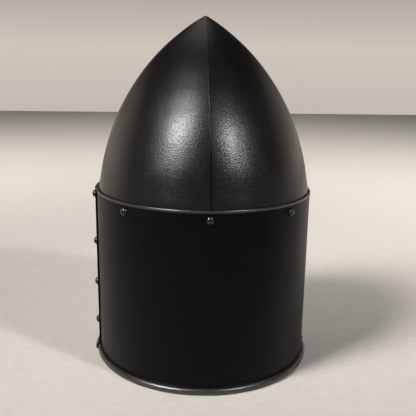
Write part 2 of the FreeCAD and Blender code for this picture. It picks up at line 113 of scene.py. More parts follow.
def t_of_s(s):
    return math.degrees(float(np.interp(s, _s, _t)))


# ------------------------------------------------------------------ helpers
def finish_mesh(name, verts, faces, mat, body, stands_for=(), sharp=38.0, merge=1e-4, uvs=None):
    """Object from millimetre verts, welded, normals outward, with hard edges only where it bends sharply."""
    me = bpy.data.meshes.new(name)
    me.from_pydata([tuple(v) for v in verts], [], faces)
    if uvs is not None:
        layer = me.uv_layers.new(name="UVMap")
        for loop in me.loops:
            layer.data[loop.index].uv = uvs[loop.vertex_index]
    bm = bmesh.new()
    bm.from_mesh(me)
    bmesh.ops.remove_doubles(bm, verts=bm.verts, dist=merge)
    bmesh.ops.dissolve_degenerate(bm, edges=bm.edges, dist=1e-5)
    bmesh.ops.recalc_face_normals(bm, faces=bm.faces)
    bm.to_mesh(me)
    bm.free()
    return seat(bpy.data.objects.new(name, me), mat, body, stands_for, sharp)


def seat(ob, mat, body, stands_for=(), sharp=38.0, scale=True):
    me = ob.data
    if ob.name not in bpy.context.scene.collection.objects:
        bpy.context.scene.collection.objects.link(ob)
    if scale:
        me.transform(Matrix.Scale(MM, 4))
    bm = bmesh.new()
    bm.from_mesh(me)
    lim = math.radians(sharp)
    for f in bm.faces:
        f.smooth = True
    for e in bm.edges:
        e.smooth = not (len(e.link_faces) == 2 and e.calc_face_angle(0.0) > lim)
    bm.to_mesh(me)
    bm.free()
    me.materials.clear()
    me.materials.append(mat)
    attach(ob, body)
    if stands_for:
        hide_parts(*stands_for)
    return ob


def swept(loop, steps, closed_path=False, caps=True):
    """Verts and faces of a closed loop carried along steps; loop(i) gives the points at step i."""
    verts, faces = [], []
    n = None
    for i in range(steps):
        pts = loop(i)
        n = len(pts)
        verts += pts
    last = steps if closed_path else steps - 1
    for i in range(last):
        j = (i + 1) % steps
        for k in range(n):
            m = (k + 1) % n
            faces.append((i * n + k, i * n + m, j * n + m, j * n + k))
    if caps and not closed_path:
        faces.append(tuple(range(n)))
        faces.append(tuple(range((steps - 1) * n, steps * n))[::-1])
    return verts, faces


def flat_object(name, verts, faces):
    me = bpy.data.meshes.new(name)
    me.from_pydata([tuple(v) for v in verts], [], faces)
    bm = bmesh.new()
    bm.from_mesh(me)
    bmesh.ops.remove_doubles(bm, verts=bm.verts, dist=1e-5)
    bmesh.ops.recalc_face_normals(bm, faces=bm.faces)
    bm.to_mesh(me)
    bm.free()
    ob = bpy.data.objects.new(name, me)
    bpy.context.scene.collection.objects.link(ob)
    return ob


def boolean(ob, cutter, how="DIFFERENCE"):
    """Applies one exact boolean and removes the cutter."""
    mod = ob.modifiers.new("cut", "BOOLEAN")
    mod.operation, mod.solver, mod.object = how, "EXACT", cutter
    bpy.context.view_layer.update()
    dg = bpy.context.evaluated_depsgraph_get()
    me = bpy.data.meshes.new_from_object(ob.evaluated_get(dg))
    ob.modifiers.clear()
    old = ob.data
    ob.data = me
    bpy.data.meshes.remove(old)
    cm = cutter.data
    bpy.data.objects.remove(cutter)
    bpy.data.meshes.remove(cm)
    return ob


def prisms(name, outlines, y0, y1):
    """One cutter of closed prisms over outlines of (x, z)."""
    verts, faces = [], []
    for pts in outlines:
        o, n = len(verts), len(pts)
        verts += [(x, y0, z) for x, z in pts] + [(x, y1, z) for x, z in pts]
        faces += [(o + i, o + (i + 1) % n, o + n + (i + 1) % n, o + n + i) for i in range(n)]
        faces += [tuple(range(o, o + n))[::-1], tuple(range(o + n, o + 2 * n))]
    return flat_object(name, verts, faces)


def disc(x, z, r, n=28):
    return [(x + r * math.cos(2 * math.pi * i / n), z + r * math.sin(2 * math.pi * i / n)) for i in range(n)]


def stadium(x0, x1, z, h, n=12):
    r = h / 2
    right = [(x1 - r + r * math.cos(a), z + r * math.sin(a)) for a in np.linspace(-math.pi / 2, math.pi / 2, n)]
    left = [(x0 + r + r * math.cos(a), z + r * math.sin(a)) for a in np.linspace(math.pi / 2, 1.5 * math.pi, n)]
    mid = [(x, z + r) for x in np.linspace(x1 - r, x0 + r, 14)[1:-1]]
    low = [(x, z - r) for x in np.linspace(x0 + r, x1 - r, 14)[1:-1]]
    return [(float(a), float(b)) for a, b in right + mid + left + low]


def wrap(ob, dx, dy):
    """From flat space (arc length, offset, height) to the plan ellipse."""
    for v in ob.data.vertices:
        s, off, z = v.co
        t = math.radians(t_of_s(s))
        a, b = half_w(z) + dx + off, half_w(z) * RATIO + dy + off
        v.co = (a * math.sin(t), -b * math.cos(t), z)


# ---------------------------------------------------------------- materials
def node_material(name):
    mat = bpy.data.materials.new(name)
    mat.use_nodes = True
    nt = mat.node_tree
    nt.nodes.clear()
    out = nt.nodes.new("ShaderNodeOutputMaterial")
    bsdf = nt.nodes.new("ShaderNodeBsdfPrincipled")
    nt.links.new(bsdf.outputs[0], out.inputs[0])
    return mat, nt, bsdf


def noise(nt, coord, scale, detail=3.0, rough=0.55, stretch=None, distortion=0.0):
    src = coord
    if stretch:
        mp = nt.nodes.new("ShaderNodeMapping")
        mp.inputs["Scale"].default_value = stretch
        nt.links.new(coord, mp.inputs["Vector"])
        src = mp.outputs[0]
    n = nt.nodes.new("ShaderNodeTexNoise")
    n.inputs["Scale"].default_value = scale
    n.inputs["Detail"].default_value = detail
    n.inputs["Roughness"].default_value = rough
    n.inputs["Distortion"].default_value = distortion
    nt.links.new(src, n.inputs["Vector"])
    return n.outputs["Fac"]


def remap(nt, fac, lo, hi, a, b):
    r = nt.nodes.new("ShaderNodeMapRange")
    r.inputs[1].default_value, r.inputs[2].default_value = lo, hi
    r.inputs[3].default_value, r.inputs[4].default_value = a, b
    nt.links.new(fac, r.inputs[0])
    return r.outputs[0]


def ramp(nt, fac, stops):
    r = nt.nodes.new("ShaderNodeValToRGB")
    el = r.color_ramp.elements
    while len(el) < len(stops):
        el.new(0.5)
    for e, (p, c) in zip(el, stops):
        e.position, e.color = p, (*c, 1)
    nt.links.new(fac, r.inputs[0])
    return r.outputs[0]


def mix(nt, fac, a, b):
    m = nt.nodes.new("ShaderNodeMix")
    m.data_type = "RGBA"
    for sock, v in ((m.inputs[0], fac), (m.inputs[6], a), (m.inputs[7], b)):
        if isinstance(v, (tuple, list)):
            sock.default_value = (*v, 1)
        elif isinstance(v, (int, float)):
            sock.default_value = v
        else:
            nt.links.new(v, sock)
    return m.outputs[2]


def math_node(nt, op, a, b=0.0):
    m = nt.nodes.new("ShaderNodeMath")
    m.operation = op
    for sock, v in ((m.inputs[0], a), (m.inputs[1], b)):
        if isinstance(v, (int, float)):
            sock.default_value = v
        else:
            nt.links.new(v, sock)
    return m.outputs[0]


def bump(nt, height, strength, distance, normal=None):
    b = nt.nodes.new("ShaderNodeBump")
    b.inputs["Strength"].default_value = strength
    b.inputs["Distance"].default_value = distance
    nt.links.new(height, b.inputs["Height"])
    if normal is not None:
        nt.links.new(normal, b.inputs["Normal"])
    return b.outputs[0]


def coords(nt, uv=False):
    c = nt.nodes.new("ShaderNodeTexCoord")
    return c.outputs["UV" if uv else "Object"]


def black_paint(name, base, rough, grain, spec=0.3, wear=0.0, scale=760.0, seam=False):
    """Sprayed satin black: orange peel, fine grain, faint handling marks, and a little bare metal where wear is set."""
    mat, nt, bsdf = node_material(name)
    c = coords(nt)
    peel = noise(nt, c, scale, 1.0, 0.5)
    fine = noise(nt, c, scale * 1.4, 1.0, 0.6)
    broad = noise(nt, c, 14.0, 4.0, 0.6)
    marks = noise(nt, c, 60.0, 5.0, 0.65, stretch=(1.0, 1.0, 0.18), distortion=0.4)
    col = mix(nt, remap(nt, broad, 0.35, 0.7, 0.0, 1.0), tuple(base), tuple(v * 1.4 for v in base))
    col = mix(nt, remap(nt, fine, 0.5, 0.72, 0.0, 0.8 * min(grain, 1.0)), col, tuple(v * 2.2 + 0.001 for v in base))
    if wear:
        patch = math_node(nt, "MULTIPLY", remap(nt, noise(nt, c, 120.0, 6.0, 0.7), 0.60, 0.66, 0.0, 1.0), remap(nt, broad, 0.5, 0.62, 0.0, wear))
        col = mix(nt, patch, col, (0.16, 0.15, 0.14))
    nt.links.new(col, bsdf.inputs["Base Color"])
    r = math_node(nt, "ADD", remap(nt, broad, 0.3, 0.7, rough - 0.03, rough + 0.03), remap(nt, marks, 0.45, 0.75, -0.02, 0.05))
    nt.links.new(r, bsdf.inputs["Roughness"])
    bsdf.inputs["Specular IOR Level"].default_value = spec
    tint = mix(nt, remap(nt, fine, 0.38, 0.62, 0.0, 1.0), (1.0 - 0.5 * grain,) * 3 if grain <= 1 else (0.5,) * 3, (1.0, 1.0, 1.0))
    if seam:
        # painted shade: a thin line along one side of the ridge, where the two halves meet, with its reflection taken
        # away, strongest towards the bottom
        sep = nt.nodes.new("ShaderNodeSeparateXYZ")
        nt.links.new(c, sep.inputs[0])
        off = math_node(nt, "ABSOLUTE", math_node(nt, "SUBTRACT", sep.outputs["X"], 0.0007))
        low = remap(nt, sep.outputs["Z"], 0.270, 0.215, 0.15, 1.0)
        line = math_node(nt, "MULTIPLY", remap(nt, off, 0.0004, 0.0009, 0.9, 0.0), low)
        tint = mix(nt, line, tint, (0.0, 0.0, 0.0))
    nt.links.new(tint, bsdf.inputs["Specular Tint"])
    h = bump(nt, peel, 1.0, 0.00016 * grain)
    nt.links.new(h, bsdf.inputs["Normal"])
    return mat


def leather(name, dark, light, scale=1.0, rough=0.55):
    mat, nt, bsdf = node_material(name)
    c = coords(nt)
    cells = nt.nodes.new("ShaderNodeTexVoronoi")
    cells.inputs["Scale"].default_value = 900.0 / scale
    cells.feature = "DISTANCE_TO_EDGE"
    nt.links.new(c, cells.inputs["Vector"])
    broad = noise(nt, c, 45.0, 5.0, 0.6)
    creases = noise(nt, c, 190.0, 4.0, 0.7, stretch=(1.0, 1.0, 0.4))
    col = mix(nt, remap(nt, broad, 0.3, 0.7, 0.0, 1.0), tuple(dark), tuple(light))
    col = mix(nt, remap(nt, cells.outputs["Distance"], 0.0, 0.06, 0.45, 0.0), col, tuple(v * 0.35 for v in dark))
    nt.links.new(col, bsdf.inputs["Base Color"])
    nt.links.new(remap(nt, broad, 0.3, 0.7, rough - 0.1, rough + 0.12), bsdf.inputs["Roughness"])
    bsdf.inputs["Specular IOR Level"].default_value = 0.4
    h = bump(nt, remap(nt, cells.outputs["Distance"], 0.0, 0.12, 0.0, 1.0), 0.5, 0.00012)
    h = bump(nt, creases, 0.5, 0.0003, h)
    nt.links.new(h, bsdf.inputs["Normal"])
    return mat


def linen(name):
    """Plain-weave canvas: two crossed yarn waves along the piece's own UV, slubs and a little soiling."""
    mat, nt, bsdf = node_material(name)
    uv = coords(nt, uv=True)
    c = coords(nt)

    def yarn(direction):
        w = nt.nodes.new("ShaderNodeTexWave")
        w.wave_type, w.bands_direction, w.wave_profile = "BANDS", direction, "SIN"
        w.inputs["Scale"].default_value = 420.0
        w.inputs["Distortion"].default_value = 0.6
        w.inputs["Detail"].default_value = 1.0
        w.inputs["Detail Scale"].default_value = 0.6
        nt.links.new(uv, w.inputs["Vector"])
        return w.outputs["Fac"]

    a, b = yarn("X"), yarn("Y")
    weave = math_node(nt, "MULTIPLY", a, b)
    slub = noise(nt, uv, 600.0, 3.0, 0.6, stretch=(1.0, 0.1, 1.0))
    soil = noise(nt, c, 28.0, 5.0, 0.6)
    col = mix(nt, remap(nt, soil, 0.35, 0.75, 0.0, 1.0), (0.50, 0.43, 0.32), (0.34, 0.28, 0.20))
    col = mix(nt, remap(nt, weave, 0.0, 0.5, 0.5, 0.0), col, (0.22, 0.18, 0.12))
    col = mix(nt, remap(nt, slub, 0.55, 0.8, 0.0, 0.35), col, (0.66, 0.60, 0.48))
    nt.links.new(col, bsdf.inputs["Base Color"])
    bsdf.inputs["Roughness"].default_value = 0.92
    bsdf.inputs["Sheen Weight"].default_value = 0.25
    bsdf.inputs["Specular IOR Level"].default_value = 0.2
    h = bump(nt, weave, 0.6, 0.0003)
    h = bump(nt, soil, 0.4, 0.002, h)
    nt.links.new(h, bsdf.inputs["Normal"])
    return mat


def metal(name, base, dull, rough, brushed=(1.0, 1.0, 0.08)):
    mat, nt, bsdf = node_material(name)
    c = coords(nt)
    lines = noise(nt, c, 900.0, 3.0, 0.6, stretch=brushed)
    spots = noise(nt, c, 140.0, 5.0, 0.65)
    col = mix(nt, remap(nt, spots, 0.4, 0.7, 0.0, 1.0), tuple(base), tuple(dull))
    nt.links.new(col, bsdf.inputs["Base Color"])
    bsdf.inputs["Metallic"].default_value = 1.0
    nt.links.new(math_node(nt, "ADD", remap(nt, lines, 0.3, 0.7, rough - 0.06, rough + 0.08), remap(nt, spots, 0.4, 0.7, 0.0, 0.14)), bsdf.inputs["Roughness"])
    h = bump(nt, lines, 0.35, 0.00005)
    h = bump(nt, spots, 0.3, 0.00025, h)
    nt.links.new(h, bsdf.inputs["Normal"])
    return mat


# the skull paint carries the painted shade line along its ridge
PAINT = black_paint("skull_black_paint", (0.0016, 0.0016, 0.0017), 0.33, 1.0, 0.46, seam=True)
PLATE = black_paint("plate_black_paint", (0.0008, 0.0008, 0.0007), 0.43, 0.4, 0.12)
EDGE = black_paint("rim_black_paint", (0.0020, 0.0020, 0.0020), 0.36, 0.05, 0.95, 0.1)
BARS = black_paint("bar_black_paint", (0.0026, 0.0026, 0.0026), 0.34, 0.5, 0.26, 0.25)
RIVET = black_paint("rivet_black_paint", (0.0018, 0.0018, 0.0018), 0.22, 0.05, 0.62, 0.05)
LEATHER = leather("band_leather", (0.085, 0.042, 0.020), (0.15, 0.078, 0.038), 1.0, 0.6)
STRAP = leather("strap_leather_dark", (0.050, 0.024, 0.012), (0.085, 0.042, 0.021), 0.9, 0.5)
LINEN = linen("linen_canvas")
BRASS = metal("dulled_brass", (0.62, 0.43, 0.16), (0.34, 0.22, 0.09), 0.32)
WIRE = metal("drawn_wire", (0.50, 0.49, 0.47), (0.28, 0.26, 0.24), 0.36)
STEEL = metal("washer_steel", (0.42, 0.41, 0.39), (0.22, 0.20, 0.18), 0.42)


def thread_material():
    mat, nt, bsdf = node_material("waxed_thread")
    c = coords(nt)
    twist = noise(nt, c, 2600.0, 2.0, 0.5, stretch=(1.0, 0.5, 0.5))
    col = mix(nt, remap(nt, twist, 0.35, 0.65, 0.0, 1.0), (0.40, 0.31, 0.18), (0.62, 0.52, 0.36))
    nt.links.new(col, bsdf.inputs["Base Color"])
    bsdf.inputs["Roughness"].default_value = 0.7
    nt.links.new(bump(nt, twist, 0.6, 0.0001), bsdf.inputs["Normal"])
    return mat


THREAD = thread_material()


# -------------------------------------------------------------------- skull
def skull_w(z):
    skirt = [(140.0, half_w(140) - 1.8), (152.0, half_w(152) - 1.8), (162.0, half_w(162) - 1.8), (168.0, half_w(168) - 1.8)]
    pts = skirt + SKULL
    return spline([p[0] for p in pts], [p[1] for p in pts], z)


def crease(z):
    k = [(172.0, 0.0), (200.0, 0.022), (240.0, 0.075), (280.0, 0.15), (336.0, 0.26)]
    return float(np.interp(z, [p[0] for p in k], [p[1] for p in k]))


levels = list(np.arange(148.0, 176.0, 3.5)) + list(np.arange(176.0, 300.0, 3.1)) + list(np.arange(300.0, 332.0, 2.0)) + [332.0, 333.4, 334.5, 335.1]
outer_prof = [(float(z), float(skull_w(z)[0])) for z in levels]
for z in (335.42, 335.6, 335.78, 335.92, 336.02):
    outer_prof.append((z, math.sqrt(max(9 - (z - 333.05) ** 2, 0.0))))
outer_prof.append((336.05, 0.0))
inner_levels = [z for z in levels if z < 330.5]
inner_prof = []
for z in inner_levels:
    w0, w1 = skull_w(z - 1)[0], skull_w(z + 1)[0]
    sl = (w1 - w0) / 2
    w = float(skull_w(z)[0])
    inner_prof.append((float(z), w - SHEET * math.sqrt(1 + sl ** 2), w * RATIO - SHEET * math.sqrt(1 + (sl * RATIO) ** 2)))
inner_prof.append((331.6, 4.0, 4.5))
inner_prof.append((332.3, 0.0, 0.0))
near = [0.0, 0.0022, 0.0044, 0.0066, 0.009, 0.012, 0.016, 0.021, 0.029, 0.04, 0.055, 0.075, 0.10, 0.135]
thetas = near + list(np.linspace(0.18, math.pi - 0.18, 58)) + [math.pi - v for v in near[::-1]]


def skull_point(z, w, d, th, side, outer):
    s = math.sin(th)
    eps = 0.005
    sc = math.sqrt(s * s + eps * eps) - eps
    y = -d * math.cos(th) * (1 - crease(z) * sc)
    x = side * w * s
    if outer and z > 188.0 and w > 3.0:
        y += math.copysign(0.10 * smooth01((z - 188.0) / 40.0) * math.exp(-(x / 0.6) ** 2), y)
    return (x, y, z)


def skull_half(name, side, node):
    verts, faces = [], []
    cols = len(thetas)
    rows = [(z, w, w * RATIO, True) for z, w in outer_prof] + [(z, w, d, False) for z, w, d in inner_prof[::-1]]
    for z, w, d, out in rows:
        verts += [skull_point(z, w, d, th, side, out) for th in thetas]
    n = len(rows)
    for i in range(n):
        j = (i + 1) % n
        for k in range(cols - 1):
            faces.append((i * cols + k, i * cols + k + 1, j * cols + k + 1, j * cols + k))
    no, ni = len(outer_prof), len(inner_prof)
    for k in (0, cols - 1):
        for i in range(ni - 1):
            o0, o1 = i, i + 1
            a, b = n - 1 - i, n - 2 - i
            faces.append((o0 * cols + k, o1 * cols + k, b * cols + k, a * cols + k))
        top = [i * cols + k for i in range(ni - 1, no)] + [(n - ni) * cols + k]
        faces.append(tuple(top))
    return finish_mesh(name, verts, faces, PAINT, "shell", (node,), sharp=50.0, merge=2e-4)


skull_half("skull_half_left", -1, "skull_left")
skull_half("skull_half_right", 1, "skull_right")


# ------------------------------------------------------------------- plates
def wall_loop():
    """Cross section of a plate with its rolled rim and rounded top edge, as (offset, height)."""
    path = [(-0.8, float(z)) for z in np.linspace(167.4, 10.0, 44)]
    r = 2.61
    phi0 = math.radians(158.0)
    p0, p1 = np.array([-0.8, 10.0]), np.array([0.3 + r * math.cos(phi0), 3.3 + r * math.sin(phi0)])
    m0, m1 = np.array([0.0, -5.0]), np.array([-math.sin(phi0), math.cos(phi0)]) * 5.0
    for u in np.linspace(0, 1, 6)[1:-1]:
        h = (2 * u ** 3 - 3 * u ** 2 + 1) * p0 + (u ** 3 - 2 * u ** 2 + u) * m0 + (-2 * u ** 3 + 3 * u ** 2) * p1 + (u ** 3 - u ** 2) * m1
        path.append((float(h[0]), float(h[1])))
    for phi in np.linspace(158.0, 360.0 + 97.0, 26):
        a = math.radians(phi)
        path.append((0.3 + r * math.cos(a), 3.3 + r * math.sin(a)))
    p = np.array(path)
    tan = np.gradient(p, axis=0)
    tan /= np.linalg.norm(tan, axis=1)[:, None]
    nor = np.stack([-tan[:, 1], tan[:, 0]], 1)
    one, two = p + 0.8 * nor, p - 0.8 * nor
    lip = []
    for phi in np.linspace(218.0, -38.0, 13):
        a = math.radians(phi)
        lip.append((-0.7 + 1.05 * math.cos(a), 168.93 + 1.05 * math.sin(a)))
    loop = [tuple(v) for v in one] + [tuple(v) for v in two[::-1]] + lip
    return [(float(o), max(float(z), 0.0)) for o, z in loop]


LOOP = wall_loop()


def plate(name, t0, t1, dx, dy, cuts, node, step=2.6):
    s0, s1 = s_of_t(t0), s_of_t(t1)
    steps = int((s1 - s0) / step) + 1
    ss = np.linspace(s0, s1, steps)
    v, f = swept(lambda i: [(float(ss[i]), o, z) for o, z in LOOP], steps)
    ob = flat_object(name, v, f)
    for c in cuts:
        boolean(ob, c)
    wrap(ob, dx, dy)
    ob = seat(ob, PLATE, "shell", (node,), sharp=32.0)
    ob.data.materials.append(EDGE)
    for poly in ob.data.polygons:
        z = poly.center.z / MM
        poly.material_index = 1 if z > 167.7 or z < 7.0 else 0
    return ob


def box_outline(x0, x1, z0, z1):
    return [(x0, z0), (x1, z0), (x1, z1), (x0, z1)]


rear_cut = prisms("cut_rear", [box_outline(s_of_t(REAR_LEFT_T) - 9, s_of_t(FACE_LEFT_T + 0.5), -3, 8.0),
                               box_outline(s_of_t(FACE_RIGHT_T - 0.5), s_of_t(REAR_RIGHT_T) + 9, -3, 8.0)], -12, 12)
plate("rear_wall", REAR_LEFT_T, REAR_RIGHT_T, 0, 0, [rear_cut], "rear_plate")


def s_front(x, z=128.0, dx=FX):
    """Arc length of a point on the front at that x."""
    return s_of_t(180.0 - math.degrees(math.asin(max(-1.0, min(1.0, x / (half_w(z) + dx))))))


outl = []
for side in (-1, 1):
    a, b = sorted((s_front(side * SLOT_X0), s_front(side * SLOT_X1)))
    outl.append(stadium(a, b, SLOT_Z, SLOT_H))
    for row in range(5):
        for col in range(5 - row % 2):
            t = 180 - side * (13.0 + 6.0 * col + 3.0 * (row % 2))
            outl.append(disc(s_of_t(t), 38.0 + 12.0 * row, 2.6))
face_holes = prisms("cut_face", outl, -8, 8)
sl, sr = s_of_t(360.0 + FACE_LEFT_T), s_of_t(FACE_RIGHT_T)
corner = prisms("cut_corner", [[(sl + 1, 164.0), (sl + 1, 173.0), (sl - 6.3, 173.0), (sl - 6.3, 170.3), (sl - 5.6, 169.6), (sl - 0.4, 164.4)],
                               [(sr - 1, 164.0), (sr + 0.4, 164.4), (sr + 5.6, 169.6), (sr + 6.3, 170.3), (sr + 6.3, 173.0), (sr - 1, 173.0)]], -8, 8)
plate("face_wall", FACE_RIGHT_T, 360.0 + FACE_LEFT_T, FX, FY, [face_holes, corner], "face_plate", step=2.4)

# --------------------------------------------------------- reinforcing cross
hw = 12.0


def bar_piece(name, outline, slots, node):
    """A bar with softened edges, cut in flat space and bent round the face plate."""
    pts = [(s_front(x, z, FX + 1.9), z) for x, z in outline]
    xs = [p[0] for p in pts]
    zs = [p[1] for p in pts]
    x0, x1, z0, z1 = min(xs) - 2, max(xs) + 2, min(zs) - 2, max(zs) + 2
    nx, nz = int((x1 - x0) / 2.6) + 2, int((z1 - z0) / 3.2) + 2
    gx, gz = np.linspace(x0, x1, nx), np.linspace(z0, z1, nz)
    verts, faces = [], []
    for y in (0.0, BAR_T):
        verts += [(float(x), y, float(z)) for z in gz for x in gx]
    n = nx * nz
    for i in range(nz - 1):
        for j in range(nx - 1):
            q = (i * nx + j, i * nx + j + 1, (i + 1) * nx + j + 1, (i + 1) * nx + j)
            faces.append(q)
            faces.append(tuple(v + n for v in q[::-1]))
    rim = [j for j in range(nx)] + [i * nx + nx - 1 for i in range(1, nz)] + [(nz - 1) * nx + j for j in range(nx - 2, -1, -1)] + [i * nx for i in range(nz - 2, 0, -1)]
    for a, b in zip(rim, rim[1:] + rim[:1]):
        faces.append((a, b, b + n, a + n))
    ob = flat_object(name, verts, faces)
    boolean(ob, prisms("shape", [pts], -3, 6), "INTERSECT")
    if slots:
        boolean(ob, prisms("slot", slots, -3, 6))
    bm = bmesh.new()
    bm.from_mesh(ob.data)
    edges = [e for e in bm.edges if len(e.link_faces) == 2 and e.calc_face_angle(0) > 0.9 and min(v.co.y for v in e.verts) > BAR_T - 1e-3]
    bmesh.ops.bevel(bm, geom=edges, offset=0.45, segments=3, profile=0.55, affect="EDGES", clamp_overlap=True)
    bm.to_mesh(ob.data)
    bm.free()
    wrap(ob, FX + BAR_GAP, FY + BAR_GAP)
    return seat(ob, BARS, "shell", (node,), sharp=35.0)


bar_piece("nasal_reinforce", [(-hw, 26), (-hw - 5, 18), (0, 9.5), (hw + 5, 18), (hw, 26), (hw, 142), (hw + 4, 149), (0, 156), (-hw - 4, 149), (-hw, 142)], [], "nasal_bar")
arm = [(hw + 0.4, 113.5), (72, 113.5), (80, 109.5), (86.5, 128), (80, 146.5), (72, 142.5), (hw + 0.4, 142.5)]
for side, word in ((-1, "left"), (1, "right")):
    a, b = sorted((s_front(side * (SLOT_X0 - 0.8)), s_front(side * (SLOT_X1 + 0.8))))
    bar_piece("ocular_reinforce_" + word, [(side * x, z) for x, z in arm], [stadium(a, b, SLOT_Z, SLOT_H + 1.6)], "ocular_bar_" + word)


# ------------------------------------------------------------------- rivets
def rivet_mesh(p, n, r, h, shank, depth, surf_curve, rnd, verts, faces):
    """Low dome on a short skirt, its stem, and the hammered burr inside, turned about n."""
    z = n.normalized()
    x = z.orthogonal().normalized()
    y = z.cross(x)
    base = 0.985 * math.sqrt(max(r * r - (h - r) ** 2, 0.0))
    prof = [(0.0, h)]
    for a in np.linspace(0.0, 1.0, 11)[1:]:
        ang = a * math.pi / 2
        prof.append((base * math.sin(ang), h * (1 - a * 0.0) * math.cos(ang) ** 0.92 if a < 1 else 0.12))
    prof.append((base * 0.985, -0.25))
    prof.append((shank, -0.25))
    prof.append((shank, -depth))
    b = shank + 1.5
    prof += [(b - 0.15, -depth), (b, -depth - 0.18), (b - 0.25, -depth - 0.75), (b - 0.8, -depth - 1.2), (shank * 0.6, -depth - 1.36), (0.0, -depth - 1.4)]
    seg = 28
    tilt = Vector((rnd.uniform(-0.03, 0.03), rnd.uniform(-0.03, 0.03), 0))
    start = len(verts)
    for q, (rad, hh) in enumerate(prof):
        for i in range(seg):
            a = 2 * math.pi * i / seg
            rr = rad * (1 + (0.012 * math.sin(3 * a + tilt.x * 90) if 0 < q < 11 else 0.0) + (0.07 * math.sin(2 * a + tilt.y * 70) + 0.04 * math.sin(5 * a) if q > 13 else 0.0))
            lean = (tilt.x * math.cos(a) + tilt.y * math.sin(a)) * rr if q < 10 else 0.0
            verts.append(p + x * (rr * math.cos(a)) + y * (rr * math.sin(a)) + z * (hh + lean))
    for q in range(len(prof) - 1):
        for i in range(seg):
            j = (i + 1) % seg
            faces.append((start + q * seg + i, start + q * seg + j, start + (q + 1) * seg + j, start + (q + 1) * seg + i))


def rivet_group(name, items, node, r=4.05, h=3.38, shank=2.0):
    rnd = random.Random(len(name) * 7 + 3)
    verts, faces = [], []
    for p, n, depth in items:
        rivet_mesh(p, n, r, h, shank, depth, 0, rnd, verts, faces)
    return finish_mesh(name, verts, faces, RIVET, "shell", (node,), sharp=48.0, merge=1e-3)


band_in = BAND_OUT + BAND_T
wash_d = band_in + 0.35
rivet_group("row_rivets_rear", [(*at(0, 0, t, ROW_Z), wash_d + 1.06) for t in (-45.0, 0.0, 45.0)], "rivets_rear_row")
front = []
for t in (135.0, 180.0, 225.0):
    p, n = at(FX, FY, t, ROW_Z)
    q, _ = at(0, 0, math.degrees(math.atan2(p.x / half_w(ROW_Z), -p.y / (half_w(ROW_Z) * RATIO))), ROW_Z)
    front.append((p, n, wash_d + (p - q).dot(n) + 1.06))
rivet_group("row_rivets_front", front, "rivets_front_row")
piv_wash = STRAP_PIVOT_X - STRAP_T / 2 - 0.4
rivet_group("side_rivet_left", [(Vector((-(half_w(ROW_Z) + FX), 0, ROW_Z)), Vector((-1, 0, 0)), half_w(ROW_Z) + FX - piv_wash + 1.06)], "rivet_pivot_left")
rivet_group("side_rivet_right", [(Vector((half_w(ROW_Z), 0, ROW_Z)), Vector((1, 0, 0)), half_w(ROW_Z) - piv_wash + 1.06)], "rivet_pivot_right")
seam_depth = SHEET * 2 + 0.5 + 0.12
rivet_group("column_rivets_left", [(*at(FX, FY, SEAM_LEFT_T, z), seam_depth) for z in SEAM_Z], "rivets_seam_left")
rivet_group("column_rivets_right", [(*at(FX, FY, SEAM_RIGHT_T, z), seam_depth) for z in SEAM_Z] + [(*at(FX, FY, SEAM_RIGHT_T, ROW_Z - 1.0), seam_depth + SHEET + 0.25)], "rivets_seam_right")
bx = FX + BAR_GAP + BAR_T
by = FY + BAR_GAP + BAR_T


def on_bar(x, z):
    return at(bx, by, 180.0 - math.degrees(math.asin(x / (half_w(z) + bx))), z)


cross = [on_bar(x, z) for x, z in [(0.0, 22.0), (0.0, 62.0), (0.0, 100.0), (0.0, 141.5)]]
for side in (-1, 1):
    cross += [on_bar(side * x, z) for x, z in [(22.0, 118.5), (22.0, 137.5), (46.0, 118.0), (46.0, 138.0), (66.0, 118.5), (66.0, 137.5), (79.5, 128.0)]]
rivet_group("cross_rivet_heads", [(p, n, BAR_T + BAR_GAP + SHEET + 0.06) for p, n in cross], "cross_rivets", 3.1, 2.18, 1.5)


# -------------------------------------------------------------------- liner
def rounded_rect(w, h, r, n=4):
    """Closed outline of a rounded rectangle about the origin."""
    pts = []
    for cx, cy, a0 in ((w / 2 - r, h / 2 - r, 0), (-w / 2 + r, h / 2 - r, 90), (-w / 2 + r, -h / 2 + r, 180), (w / 2 - r, -h / 2 + r, 270)):
        for i in range(n + 1):
            a = math.radians(a0 + 90 * i / n)
            pts.append((cx + r * math.cos(a), cy + r * math.sin(a)))
    return pts


def band_loop():
    pts = []
    zc, h = (BAND_Z0 + BAND_Z1) / 2, BAND_Z1 - BAND_Z0
    rr = rounded_rect(BAND_T, h, 0.8, 4)
    out = []
    for (o0, z0), (o1, z1) in zip(rr, rr[1:] + rr[:1]):
        k = max(1, int(abs(z1 - z0) / 3))
        out += [(o0 + (o1 - o0) * i / k, z0 + (z1 - z0) * i / k) for i in range(k)]
    return [(-BAND_OUT - BAND_T / 2 + o, zc + z) for o, z in out]


bl = band_loop()
band_steps = 220


def band_at(i):
    t = 2 * math.pi * i / band_steps
    out = []
    for o, z in bl:
        wob = -0.12 * (1 + math.sin(9 * t + 0.7)) * (0.5 + 0.5 * math.sin(4 * t + z * 0.3)) * (1 if o < -BAND_OUT - 1 else 0)
        a, b = half_w(z) + o + wob, half_w(z) * RATIO + o + wob
        out.append((a * math.sin(t), -b * math.cos(t), z))
    return out


v, f = swept(band_at, band_steps, closed_path=True)
finish_mesh("liner_headband", v, f, LEATHER, "shell", ("liner_band",), sharp=60.0)

LAPPET = [(BAND_Z1, 100.6), (180.0, 97.8), (192.0, 92.6), (205.0, 84.0), (217.0, 72.5), (228.0, 57.5), (237.0, 40.0), (243.0, 26.0)]
lz = [p[0] for p in LAPPET]
lw = [p[1] for p in LAPPET]
lap_arc = [0.0]
for (z0, w0), (z1, w1) in zip(LAPPET, LAPPET[1:]):
    lap_arc.append(lap_arc[-1] + math.hypot(z1 - z0, w1 - w0))


